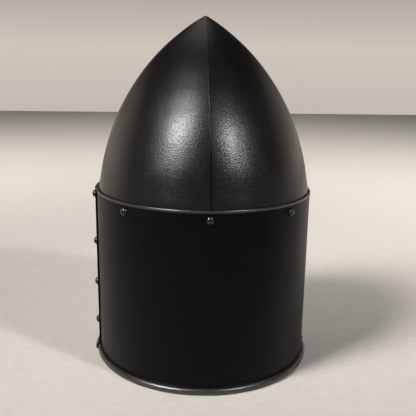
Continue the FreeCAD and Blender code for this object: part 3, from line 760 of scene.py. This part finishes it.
def lappet(name, k):
    """One padded linen tongue: crowned between its hems, with soft puckers towards the gathered tip."""
    nu, nv = 22, 34
    a0, a1 = math.radians(22.5 + 45 * k), math.radians(67.5 + 45 * k)
    verts, faces, uvs = [], [], []
    rnd = random.Random(40 + k)
    ph = [rnd.uniform(0, 6.28) for _ in range(4)]
    for layer in (0, 1):
        for j in range(nv + 1):
            vv = j / nv
            ell = vv * lap_arc[-1]
            z = float(spline(lap_arc, lz, ell)[0])
            w = float(spline(lap_arc, lw, ell)[0])
            dz = float(spline(lap_arc, lz, min(ell + 1, lap_arc[-1]))[0] - spline(lap_arc, lz, max(ell - 1, 0))[0])
            dw = float(spline(lap_arc, lw, min(ell + 1, lap_arc[-1]))[0] - spline(lap_arc, lw, max(ell - 1, 0))[0])
            le = math.hypot(dz, dw)
            nr, nz_ = dz / le, -dw / le
            gap = (0.7 + 2.4 * vv * (1 - vv)) / max(w, 20.0)
            for i in range(nu + 1):
                u = i / nu
                a = a0 + gap + (a1 - a0 - 2 * gap) * u
                edge = min(u, 1 - u) * (a1 - a0) * w
                rim = min(1.0, edge / 3.0)
                rimv = min(1.0, (ell + 0.2) / 2.5, (lap_arc[-1] - ell + 0.2) / 2.5)
                soft = math.sqrt(max(0.0, 1 - (1 - rim) ** 2)) * math.sqrt(max(0.0, 1 - (1 - rimv) ** 2))
                crown = math.sin(math.pi * u) ** 0.6 * (0.55 + 0.45 * math.sin(math.pi * min(1, vv * 1.1)))
                quilt = 0.5 - 0.5 * math.cos(2 * math.pi * (u * 4))
                pucker = 0.5 * math.sin(u * 22 + ph[0]) * smooth01((vv - 0.55) / 0.45) + 0.25 * math.sin(vv * 15 + ph[1] + 3 * u)
                thick = 0.35 + soft * (1.5 + 0.9 * crown * quilt + 0.25 * pucker)
                drop = 0.2 if layer == 0 else thick + 0.2
                sag = 0.9 * math.sin(math.pi * vv) * math.sin(math.pi * u)
                r_in = w - (drop + sag) * nr
                zz = z - (drop + sag) * nz_
                zz = max(zz, BAND_Z1 + 0.05 * layer) if vv < 0.02 else zz
                sa, ca = math.sin(a), -math.cos(a)
                verts.append((r_in * sa, r_in * RATIO * ca, zz))
                uvs.append(((a - a0) * 80.0 * MM * (1 if layer == 0 else 1), ell * MM))
    row = nu + 1
    n = row * (nv + 1)
    for j in range(nv):
        for i in range(nu):
            q = (j * row + i, j * row + i + 1, (j + 1) * row + i + 1, (j + 1) * row + i)
            faces.append(q)
            faces.append(tuple(x + n for x in q[::-1]))
    rim = [i for i in range(row)] + [j * row + nu for j in range(1, nv + 1)] + [nv * row + i for i in range(nu - 1, -1, -1)] + [j * row for j in range(nv - 1, 0, -1)]
    for a, b in zip(rim, rim[1:] + rim[:1]):
        faces.append((a, b, b + n, a + n))
    return finish_mesh(name, verts, faces, LINEN, "shell", ("liner_lappets",), sharp=75.0, uvs=uvs)


for k in range(8):
    lappet("lappet_%d" % (k + 1), k)


def crown_pad():
    """Stuffed round pad: crowned both sides, with a stitched channel and a tufted middle."""
    rings, seg = 20, 64
    verts, faces, uvs = [], [], []
    for layer in (1, -1):
        for j in range(rings + 1):
            r = 27.0 * j / rings
            for i in range(seg):
                a = 2 * math.pi * i / seg
                e = max(0.0, 1 - (r / 27.0) ** 2)
                tuft = 1 - 0.55 * math.exp(-(r / 4.0) ** 2) - 0.30 * math.exp(-((r - 17.0) / 1.6) ** 2)
                pk = 1 + 0.05 * math.sin(14 * a) * smooth01((r - 17) / 8)
                h = 2.95 * e ** 0.45 * tuft * pk
                rr = r * (1 + 0.008 * math.sin(14 * a) * (r / 27.0))
                verts.append((rr * math.cos(a) * 0.995, rr * math.sin(a) * 0.995, 246.0 + layer * max(h, 0.0)))
                uvs.append((rr * math.cos(a) * MM, rr * math.sin(a) * MM))
    n = (rings + 1) * seg
    for j in range(rings):
        for i in range(seg):
            k = (i + 1) % seg
            q = (j * seg + i, j * seg + k, (j + 1) * seg + k, (j + 1) * seg + i)
            faces.append(q)
            faces.append(tuple(x + n for x in q[::-1]))
    ob = finish_mesh("crown_cushion", verts, faces, LINEN, "shell", ("crown_pad",), sharp=80.0, merge=2e-3, uvs=uvs)
    return ob


crown_pad()


def stitches(name, places, mat, body, length=2.4, r=0.32):
    """Small thread capsules; each place is centre, along and out."""
    verts, faces = [], []
    seg, rows = 6, 7
    for c, along, out in places:
        along = along.normalized()
        out = (out - along * out.dot(along)).normalized()
        side = along.cross(out)
        o = len(verts)
        for q in range(rows):
            a = -math.pi / 2 + math.pi * q / (rows - 1)
            x = math.sin(a) * length / 2
            rr = r * max(math.cos(a), 0.0) ** 0.6
            lift = 0.16 * math.cos(a) - 0.05
            for i in range(seg):
                b = 2 * math.pi * i / seg
                verts.append(c + along * x + out * (rr * math.cos(b) + lift) + side * (rr * math.sin(b)))
        for q in range(rows - 1):
            for i in range(seg):
                j = (i + 1) % seg
                faces.append((o + q * seg + i, o + q * seg + j, o + (q + 1) * seg + j, o + (q + 1) * seg + i))
        faces.append(tuple(o + i for i in range(seg))[::-1])
        faces.append(tuple(o + (rows - 1) * seg + i for i in range(seg)))
    return finish_mesh(name, verts, faces, mat, body, (), sharp=70.0, merge=1e-5)


places = []
count = 170
for z in (BAND_Z0 + 2.6, BAND_Z1 - 2.6):
    for i in range(count):
        t = 360.0 * i / count
        p, n = at(-band_in, -band_in, t, z)
        d = Vector((math.cos(math.radians(t)), math.sin(math.radians(t)) * RATIO, 0))
        places.append((p - n * 0.02, d, -n))
stitches("liner_stitching", places, THREAD, "shell")


# ------------------------------------------------------------- chin straps
def strap_path(side, tail):
    """Centre line of a strap in the XZ plane from the rivet down, as points with their arc length."""
    pts = [(ROW_Z - r, STRAP_PIVOT_X) for r in np.linspace(-8.0, 11.0, 9)]
    zs = np.linspace(-12.0, -62.0, 30)
    xs = spline([12.0, 22.0, 38.0, 52.0, 62.0], [STRAP_PIVOT_X, STRAP_PIVOT_X - 3.2, STRAP_X + 13.0, STRAP_X + 3.2, STRAP_X], -zs, 0.0, 0.0)
    pts += [(ROW_Z + z, float(x)) for z, x in zip(zs, xs)]
    pts += tail
    return [(side * x, z) for z, x in pts]


def strip(name, centre, width_at, holes, mat, body, node, outward):
    """A leather strip along centre, its cuts made flat, with rounded waxed edges."""
    c = np.array(centre)
    seg = np.linalg.norm(np.diff(c, axis=0), axis=1)
    ell = np.concatenate([[0], np.cumsum(seg)])
    total = ell[-1]
    steps = int(total / 1.5)
    ls = np.linspace(0, total, steps)
    half = STRAP_T / 2

    def loop(i):
        w = max(width_at(ls[i], total), 0.15)
        flat = rounded_rect(2.0, 2.0, 0.86, 4)
        out = []
        for a, b in flat:
            # a across the width, b through the thickness
            out.append((float(ls[i]), b * half, math.copysign(max(w - (1 - abs(a)) * 0.9, 0.02), a) if abs(a) > 0.13 else a * w))
        # extra points across both faces keep the cuts clean
        res = []
        for p, q in zip(out, out[1:] + out[:1]):
            res.append(p)
            if abs(p[2] - q[2]) > 3:
                for k in range(1, 5):
                    res.append((p[0], p[1] + (q[1] - p[1]) * k / 5, p[2] + (q[2] - p[2]) * k / 5))
        return res

    first = len(loop(steps // 2))

    def fixed(i):
        pts = loop(i)
        if len(pts) != first:
            w = max(width_at(ls[i], total), 0.15)
            ref = loop(steps // 2)
            wr = max(abs(p[2]) for p in ref)
            pts = [(float(ls[i]), p[1] * (1 if w > 1 else 0.9), p[2] * w / wr) for p in ref]
        return pts

    v, f = swept(fixed, steps)
    ob = flat_object(name, v, f)
    if holes:
        # cutters are prisms over (length, width), through the thickness
        verts, faces = [], []
        for pts in holes:
            o, n = len(verts), len(pts)
            verts += [(x, -4, z) for x, z in pts] + [(x, 4, z) for x, z in pts]
            faces += [(o + i, o + (i + 1) % n, o + n + (i + 1) % n, o + n + i) for i in range(n)]
            faces += [tuple(range(o, o + n))[::-1], tuple(range(o + n, o + 2 * n))]
        boolean(ob, flat_object("holes", verts, faces))
    tan = np.gradient(c, axis=0)
    tan /= np.linalg.norm(tan, axis=1)[:, None]
    for vert in ob.data.vertices:
        l, th, w = vert.co
        l = min(max(l, 0.0), total)
        x = np.interp(l, ell, c[:, 0])
        z = np.interp(l, ell, c[:, 1])
        tx, tz = np.interp(l, ell, tan[:, 0]), np.interp(l, ell, tan[:, 1])
        m = math.hypot(tx, tz)
        nx, nz = -tz / m * outward, tx / m * outward
        vert.co = (x + nx * th, w, z + nz * th)
    ob = seat(ob, mat, body, (node,), sharp=50.0)
    return ob, ell, c, tan


def stitch_line(ell, c, tan, l0, l1, w, face, step=3.3):
    res = []
    n = int((l1 - l0) / step)
    for i in range(n + 1):
        l = l0 + (l1 - l0) * i / n
        x, z = np.interp(l, ell, c[:, 0]), np.interp(l, ell, c[:, 1])
        t = Vector((np.interp(l, ell, tan[:, 0]), 0, np.interp(l, ell, tan[:, 1]))).normalized()
        nrm = Vector((-t.z, 0, t.x)) * face
        res.append((Vector((x, w, z)) + nrm * (STRAP_T / 2 - 0.06), t, nrm))
    return res


def rounded_top(l, total):
    return STRAP_W / 2 if l > 8 else math.sqrt(max(64 - (8 - l) ** 2, 0.0))


# right: tongue with holes and a pointed end
TONGUE = 142.0
tail = [(float(z), STRAP_X) for z in np.linspace(ROW_Z - 64.0, ROW_Z - TONGUE, 30)]
path_r = strap_path(1, tail)


def tongue_width(l, total):
    w = rounded_top(l, total)
    e = total - l
    if e < 10:
        w = min(w, float(np.interp(e, [0.0, 1.0, 3.0, 6.0, 10.0], [0.4, 2.4, 4.6, 6.6, 8.0])))
    return w


cr = np.array(path_r)
ellr = np.concatenate([[0], np.cumsum(np.linalg.norm(np.diff(cr, axis=0), axis=1))])
tot_r = ellr[-1]
hole_l = [tot_r - 18 - 12 * i for i in range(5)]
ob, e_, c_, t_ = strip("chin_strap_right", path_r, tongue_width, [disc(8.0, 0.0, 2.05, 24)] + [disc(l, 0.0, 1.7, 20) for l in hole_l], STRAP, "strap_right", "strap_right", 1)
sts = []
for w in (-6.1, 6.1):
    for fc in (1, -1):
        sts += stitch_line(e_, c_, t_, 12.0, tot_r - 12.0, w, fc)
stitches("strap_right_stitching", sts, THREAD, "strap_right", 2.1, 0.27)

# left: folds round the buckle's bar and back up along itself
r_f = 1.65 + STRAP_T / 2
tail = [(float(z), STRAP_X) for z in np.linspace(ROW_Z - 64.0, BAR_Z + 1.0, 24)]
tail += [(BAR_Z - r_f * math.sin(a), -BAR_X - r_f * math.cos(a)) for a in np.linspace(0.0, math.pi, 15)]
zz = np.linspace(BAR_Z, BAR_Z + 24.0, 16)[1:]
for z in zz:
    u = smooth01((z - BAR_Z - 0.5) / 9.5)
    tail.append((float(z), -BAR_X + r_f + (72.25 - (-BAR_X + r_f)) * u))
path_l = strap_path(-1, tail)
cl = np.array(path_l)
elll = np.concatenate([[0], np.cumsum(np.linalg.norm(np.diff(cl, axis=0), axis=1))])
tot_l = elll[-1]
bar_l = float(np.interp(0.5, [0, 1], [elll[np.argmin(np.abs(cl[:, 1] - (BAR_Z - r_f)))]] * 2))


def end_round(l, total):
    w = rounded_top(l, total)
    e = total - l
    return min(w, 5.2 + math.sqrt(max(2.8 ** 2 - max(2.8 - e, 0.0) ** 2, 0.0)))


def oblong(x0, x1, half_width, n=8):
    out = [(x1 - half_width + half_width * math.cos(a), half_width * math.sin(a)) for a in np.linspace(-math.pi / 2, math.pi / 2, n)]
    out += [(x0 + half_width + half_width * math.cos(a), half_width * math.sin(a)) for a in np.linspace(math.pi / 2, 1.5 * math.pi, n)]
    return [(float(a), float(b)) for a, b in out]


ob, e_, c_, t_ = strip("chin_strap_left", path_l, end_round, [disc(8.0, 0.0, 2.05, 24), oblong(bar_l - 9.2, bar_l + 9.2, 2.1)], STRAP, "strap_left", "strap_left", 1)
sts = []
for w in (-6.1, 6.1):
    sts += stitch_line(e_, c_, t_, 12.0, bar_l - 7.0, w, 1)
    sts += stitch_line(e_, c_, t_, 12.0, bar_l - 20.0, w, -1)
    sts += stitch_line(e_, c_, t_, bar_l + 17.0, tot_l - 3.0, w, -1)
stitches("strap_left_stitching", sts, THREAD, "strap_left", 2.1, 0.27)


def tube(path, radii, seg, closed=False):
    """Sweep of an ellipse (in plane radius, out of plane radius) along a path in the YZ or XZ plane."""
    p = [Vector(q) for q in path]
    n = len(p)
    verts = []
    for i in range(n):
        a, b = p[(i - 1) % n] if closed or i else p[0], p[(i + 1) % n] if closed or i < n - 1 else p[-1]
        t = (b - a).normalized()
        plane = radii[i][2]
        side = t.cross(plane).normalized()
        for k in range(seg):
            g = 2 * math.pi * k / seg
            verts.append(p[i] + side * (radii[i][0] * math.cos(g)) + plane * (radii[i][1] * math.sin(g)))
    faces = []
    for i in range(n if closed else n - 1):
        j = (i + 1) % n
        for k in range(seg):
            m = (k + 1) % seg
            faces.append((i * seg + k, i * seg + m, j * seg + m, j * seg + k))
    if not closed:
        faces.append(tuple(range(seg)))
        faces.append(tuple(range((n - 1) * seg, n * seg))[::-1])
    return verts, faces


# buckle frame: D-shaped casting with a plain bar
yh, zl, zt, cr_ = 10.9, 45.85, BAR_Z, 3.2
path = []
for cy, cz, a0 in ((yh - cr_, zl + cr_, -90), (yh - 1.2, zt - 1.2, 0), (-yh + 1.2, zt - 1.2, 90), (-yh + cr_, zl + cr_, 180)):
    rad = cr_ if cz < 55 else 1.2
    for i in range(9):
        a = math.radians(a0 + 90 * i / 8)
        path.append((BAR_X, cy + rad * math.cos(a), cz + rad * math.sin(a)))
dense = []
for q0, q1 in zip(path, path[1:] + path[:1]):
    q0, q1 = Vector(q0), Vector(q1)
    k = max(1, int((q1 - q0).length / 1.6))
    dense += [tuple(q0.lerp(q1, i / k)) for i in range(k)]
rad = []
for q in dense:
    on_bar_side = q[2] > zt - 0.05 and abs(q[1]) < yh - 1.0
    low = q[2] < 50
    rad.append(((1.28 if on_bar_side else (1.5 if low else 1.55)), 1.28, Vector((1, 0, 0))))
v, f = tube(dense, rad, 14, closed=True)
finish_mesh("buckle_casting", v, f, BRASS, "buckle", ("buckle_frame",), sharp=70.0)

# prong: flat eye round the bar, then a tapering pin with a slightly hooked end
path, rad = [], []
for a in np.linspace(math.radians(-70), math.radians(180), 20):
    path.append((BAR_X + 1.92 * math.cos(a), 0.0, BAR_Z + 1.92 * math.sin(a)))
    rad.append((0.5, 1.6, Vector((0, 1, 0))))
pin = [(-2.25, -1.4, 0.62, 1.45), (-2.55, -3.2, 0.72, 1.3), (-2.62, -6.0, 0.75, 1.2), (-2.6, -9.0, 0.74, 1.15), (-2.55, -12.5, 0.7, 1.08), (-2.5, -15.5, 0.66, 1.0), (-2.45, -17.6, 0.6, 0.9), (-2.3, -18.6, 0.5, 0.75), (-2.1, -19.1, 0.3, 0.45)]
for dx_, dz_, r1, r2 in pin:
    path.append((BAR_X + dx_, 0.0, BAR_Z + dz_))
    rad.append((r1, r2, Vector((0, 1, 0))))
v, f = tube(path, rad, 12)
finish_mesh("buckle_pin", v, f, BRASS, "prong", ("buckle_prong",), sharp=70.0)

# keeper: a narrow leather loop round both layers, butted and stitched behind
kz0, kz1 = BAR_Z + 8.0, BAR_Z + 15.0
cx = (-STRAP_X + STRAP_T / 2 + BAR_X - 1.65 - STRAP_T) / 2
path = [(cx + x, y, (kz0 + kz1) / 2) for x, y in rounded_rect(10.1, 18.4, 2.2, 6)]
dense = []
for q0, q1 in zip(path, path[1:] + path[:1]):
    q0, q1 = Vector(q0), Vector(q1)
    k = max(1, int((q1 - q0).length / 1.5))
    dense += [q0.lerp(q1, i / k) for i in range(k)]
prof = rounded_rect(1.5, kz1 - kz0 - 0.05, 0.6, 4)


def keeper_at(i):
    a, b = dense[i - 1], dense[(i + 1) % len(dense)]
    t = (b - a).normalized()
    nrm = Vector((t.y, -t.x, 0))
    return [dense[i] + nrm * o + Vector((0, 0, h)) for o, h in prof]


v, f = swept(keeper_at, len(dense), closed_path=True)
finish_mesh("keeper_loop", v, f, STRAP, "keeper", ("strap_keeper",), sharp=60.0)

# ------------------------------------------------- CAD nodes that stay shown
for node, mat in (("rim_wire_rear", WIRE), ("rim_wire_front", WIRE), ("liner_washers", STEEL)):
    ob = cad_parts[node]
    ob.data.materials.clear()
    ob.data.materials.append(mat)

# -------------------------------------------------------------------- stage
sc = bpy.context.scene


def floor():
    me = bpy.data.meshes.new("floor")
    n, size = 24, 6.0
    verts = [(-size / 2 + size * i / n, -size / 2 + size * j / n, 0.0) for j in range(n + 1) for i in range(n + 1)]
    faces = [(j * (n + 1) + i, j * (n + 1) + i + 1, (j + 1) * (n + 1) + i + 1, (j + 1) * (n + 1) + i) for j in range(n) for i in range(n)]
    me.from_pydata(verts, [], faces)
    ob = bpy.data.objects.new("floor", me)
    sc.collection.objects.link(ob)
    mat, nt, bsdf = node_material("pale_floor")
    c = coords(nt)
    g = noise(nt, c, 90.0, 4.0, 0.6)
    nt.links.new(mix(nt, remap(nt, g, 0.35, 0.65, 0.0, 1.0), (0.470, 0.442, 0.405), (0.500, 0.472, 0.435)), bsdf.inputs["Base Color"])
    bsdf.inputs["Roughness"].default_value = 0.75
    bsdf.inputs["Specular IOR Level"].default_value = 0.15
    me.materials.append(mat)


floor()
sc.view_settings.view_transform = "Standard"
world = bpy.data.worlds.new("studio")
sc.world = world
world.use_nodes = True
wn = world.node_tree
wn.nodes.clear()
wo = wn.nodes.new("ShaderNodeOutputWorld")
wb = wn.nodes.new("ShaderNodeBackground")
tc = wn.nodes.new("ShaderNodeTexCoord")
sx = wn.nodes.new("ShaderNodeSeparateXYZ")
wr = wn.nodes.new("ShaderNodeValToRGB")
wn.links.new(tc.outputs["Generated"], sx.inputs[0])
mr = wn.nodes.new("ShaderNodeMapRange")
mr.inputs[1].default_value, mr.inputs[2].default_value = -0.2, 1.0
wn.links.new(sx.outputs["Z"], mr.inputs[0])
wn.links.new(mr.outputs[0], wr.inputs[0])
el = wr.color_ramp.elements
for _ in range(3):
    el.new(0.5)
for e, (p, c) in zip(el, [(0.0, (0.42, 0.385, 0.345)), (0.17, (0.62, 0.565, 0.50)), (0.27, (0.30, 0.275, 0.245)), (0.40, (0.03, 0.028, 0.027)), (1.0, (0.010, 0.010, 0.011))]):
    e.position, e.color = p, (*c, 1)
wn.links.new(wr.outputs[0], wb.inputs["Color"])
wb.inputs["Strength"].default_value = 1.0
wn.links.new(wb.outputs[0], wo.inputs[0])


def area(name, pos, target, size, power, colour=(1, 1, 1), size_y=None, spread=180.0):
    li = bpy.data.lights.new(name, "AREA")
    li.shape = "RECTANGLE" if size_y else "SQUARE"
    li.size = size
    if size_y:
        li.size_y = size_y
    li.energy = power
    li.color = colour
    li.spread = math.radians(spread)
    ob = bpy.data.objects.new(name, li)
    sc.collection.objects.link(ob)
    ob.location = pos
    ob.rotation_euler = (Vector(target) - Vector(pos)).to_track_quat("-Z", "Y").to_euler()
    return ob


area("key", (-1.25, -1.00, 1.60), (-0.01, -0.06, 0.2), 0.70, 4.0, (1.0, 0.985, 0.96), 0.98, 30.0)
area("fill", (1.16, -1.26, 1.42), (0.01, -0.06, 0.2), 0.18, 0.82, (0.97, 0.985, 1.0), 0.20, 30.0)
area("top_back", (-0.1, 1.0, 1.9), (0, 0, 0.15), 1.2, 3.6, (1.0, 0.98, 0.95))
area("side_left", (-1.6, 1.1, 0.62), (0, 0, 0.12), 1.3, 2.4, (1.0, 0.88, 0.74), 1.0)
area("side_right", (1.6, 1.1, 0.62), (0, 0, 0.12), 1.3, 1.8, (1.0, 0.88, 0.74), 1.0)
area("floor_wash", (0.0, 0.8, 1.3), (0, 2.9, 0.0), 2.2, 46.0, (1.0, 0.985, 0.96), 0.8)
area("floor_wash_left", (-0.7, 0.3, 1.2), (-2.4, 0.6, 0.0), 1.2, 16.0, (1.0, 0.985, 0.96), 0.6)
area("floor_wash_right", (0.7, 0.3, 1.2), (2.4, 0.6, 0.0), 1.2, 16.0, (1.0, 0.985, 0.96), 0.6)
area("floor_wash_near", (0.0, -1.5, 1.3), (0, -3.2, 0.0), 2.2, 34.0, (1.0, 0.985, 0.96), 0.8)

# ------------------------------------------------------------------- camera
cam_data = bpy.data.cameras.new("camera")
cam = bpy.data.objects.new("camera", cam_data)
sc.collection.objects.link(cam)
psi, pitch, roll = math.radians(3.4), math.radians(12.0), math.radians(0.86)
cam_data.sensor_fit = "HORIZONTAL"
cam_data.sensor_width = 36.0
cam_data.lens = 735.2 / 416.0 * 36.0
cam_data.clip_start, cam_data.clip_end = 0.02, 30.0
fwd0 = Vector((math.sin(psi), math.cos(psi), 0))
right0 = Vector((math.cos(psi), -math.sin(psi), 0))
pos = -fwd0 * 0.7307 + right0 * 0.00498 + Vector((0, 0, 0.3022))
fwd = fwd0 * math.cos(pitch) - Vector((0, 0, 1)) * math.sin(pitch)
up0 = right0.cross(fwd)
right = right0 * math.cos(roll) + up0 * math.sin(roll)
up = right.cross(fwd)
m = Matrix((right, up, -fwd)).transposed().to_4x4()
m.translation = pos
cam.matrix_world = m
sc.camera = cam
